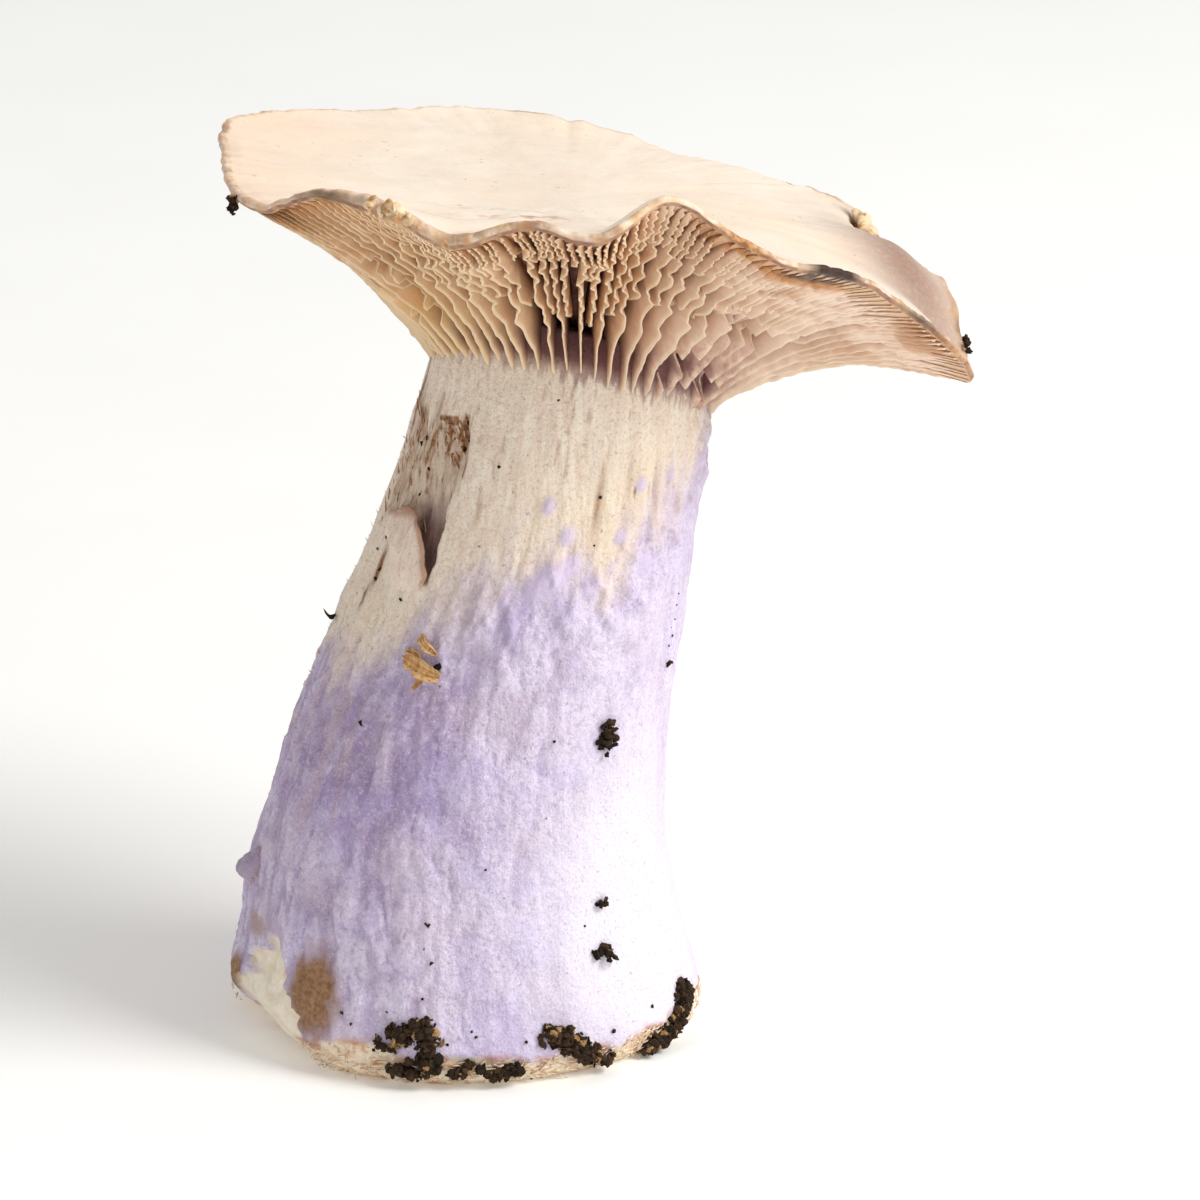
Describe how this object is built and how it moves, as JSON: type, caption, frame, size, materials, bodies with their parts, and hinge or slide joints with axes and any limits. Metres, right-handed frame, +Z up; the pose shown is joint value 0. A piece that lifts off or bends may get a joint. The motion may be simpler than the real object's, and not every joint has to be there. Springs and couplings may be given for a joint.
{
  "type": "blue foot mushroom",
  "caption": "Fresh blue foot mushroom standing on its cut foot: waved cream cap, crowded gills, thick lilac stem with soil and straw still clinging.",
  "frame": {"origin": "middle of the flat cut foot, on the surface that the mushroom stands on", "axes": "+Z up along the stem; +X towards the side where the cap droops into a spout; -Y towards the side where the gills show under the lifted margin"},
  "size_m": [0.07, 0.067, 0.0872],
  "materials": {
    "mushroom_flesh": "matt, soft, faintly fibrous skin",
    "soil": "crumbly, dull, dark",
    "straw": "dry, satin, fibrous"
  },
  "bodies": {
    "root": {"mushroom": "mushroom_flesh", "soil_clod_front_left": "soil", "soil_streak_front": "soil", "soil_clod_front_right": "soil", "soil_clod_right": "soil", "soil_crumb_upper": "soil", "soil_crumb_lower": "soil", "soil_crumb_small": "soil", "soil_crumb_margin": "soil", "soil_crumb_spout": "soil", "straw_flake_wide": "straw", "straw_flake_thin": "straw"}
  },
  "joints": []
}
